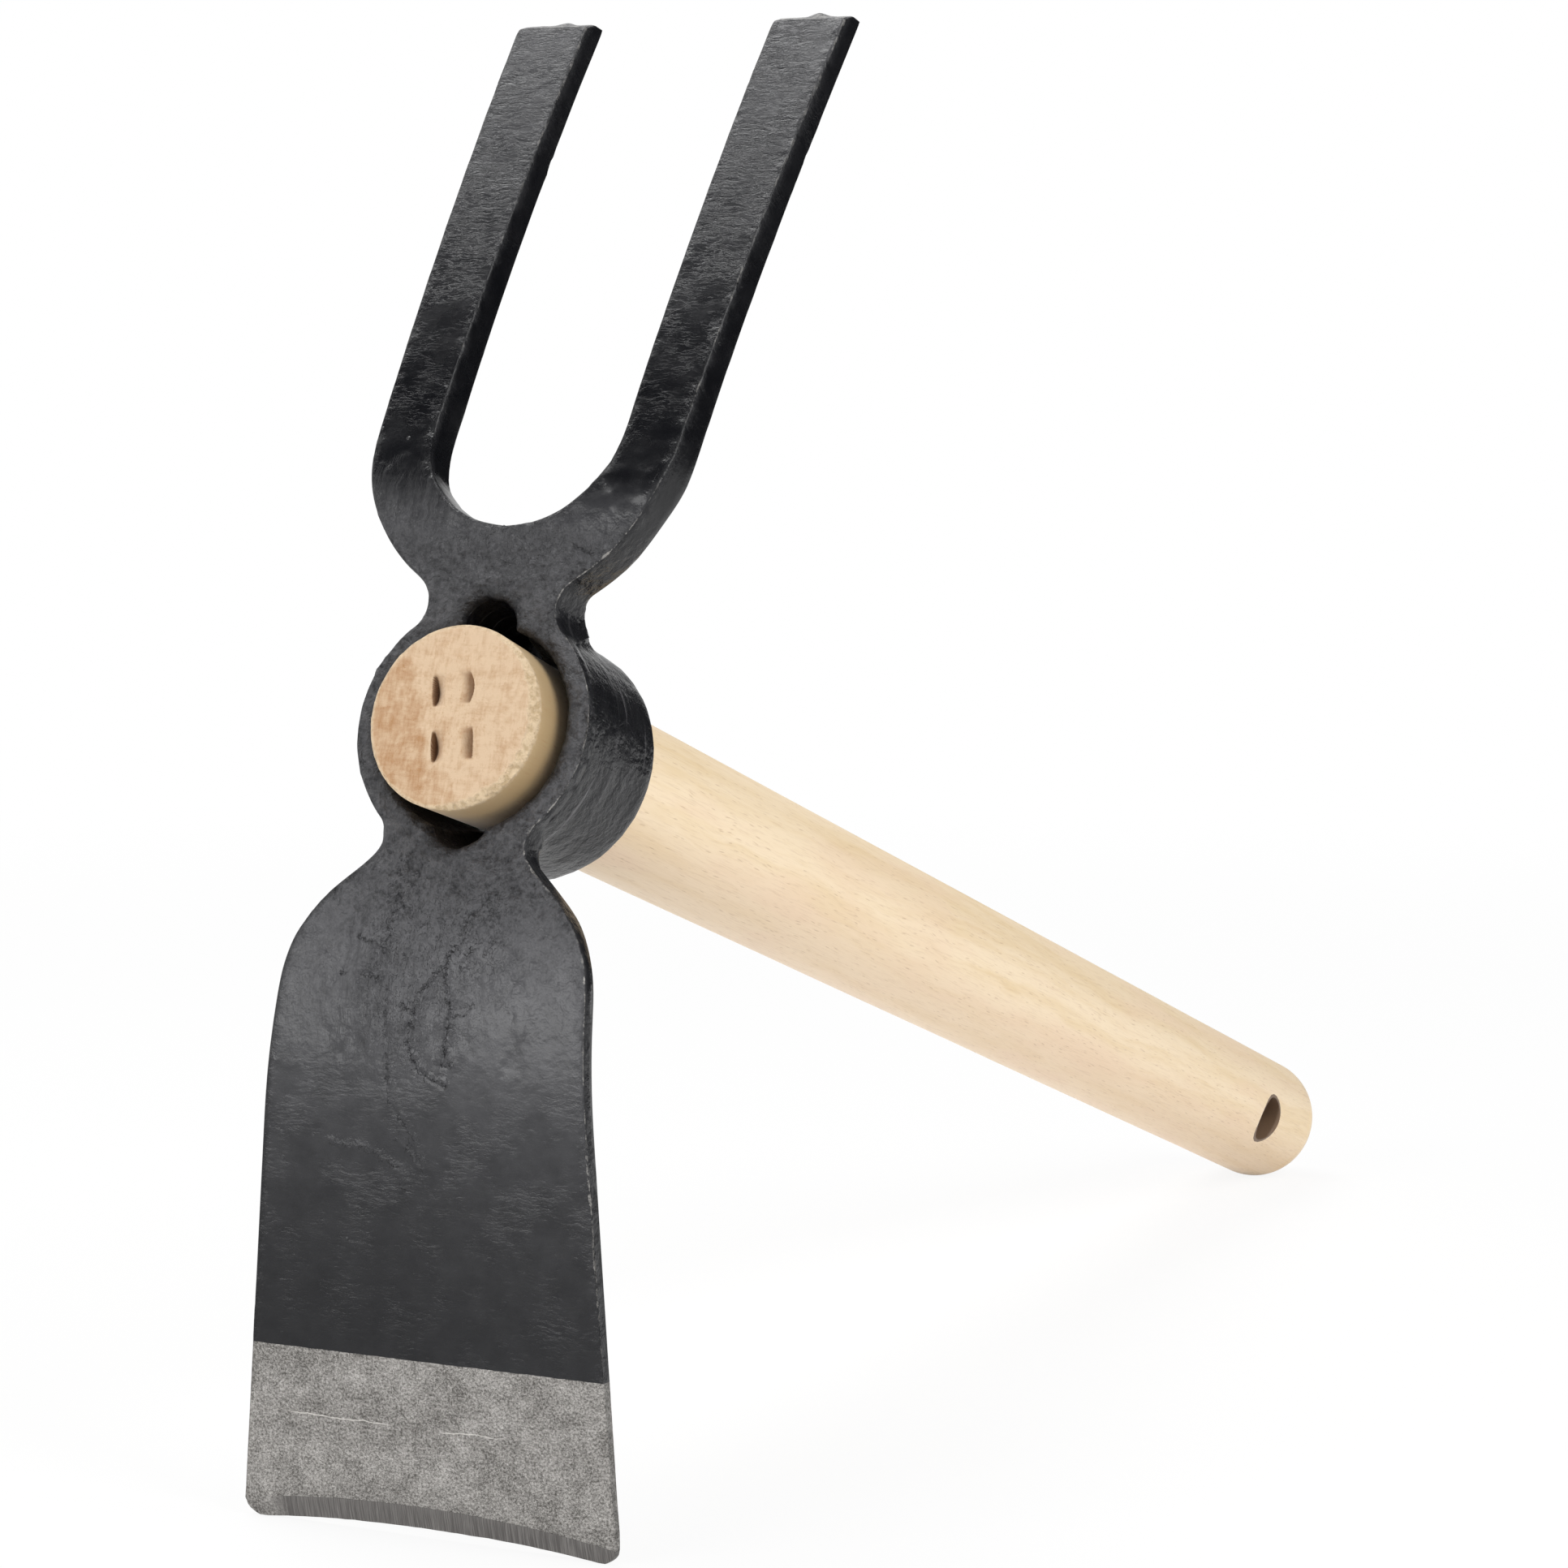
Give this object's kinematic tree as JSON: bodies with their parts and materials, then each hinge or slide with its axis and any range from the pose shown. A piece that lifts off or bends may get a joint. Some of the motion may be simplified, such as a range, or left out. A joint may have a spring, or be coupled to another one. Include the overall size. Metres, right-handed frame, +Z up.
{
  "type": "draw hoe",
  "caption": "Hand hoe and fork: a square forged blade below the eye and a fork of flat tines above it, on a short turned wooden handle with a hanging hole.",
  "frame": {"origin": "on the ground, under the middle of the bounding box, with the tool standing on its blade's corners and its grip end", "axes": "+Y from the head back along the handle, +Z up, +X across the blade to its right as seen from the handle's sawn end"},
  "size_m": [0.0686, 0.3912, 0.247],
  "materials": {
    "head": "black paint on a forged surface, bare ground steel at the cutting edge",
    "handle": "turned and sanded beech, lightly oiled"
  },
  "bodies": {
    "root": {"head": "head", "handle": "handle"}
  },
  "joints": []
}
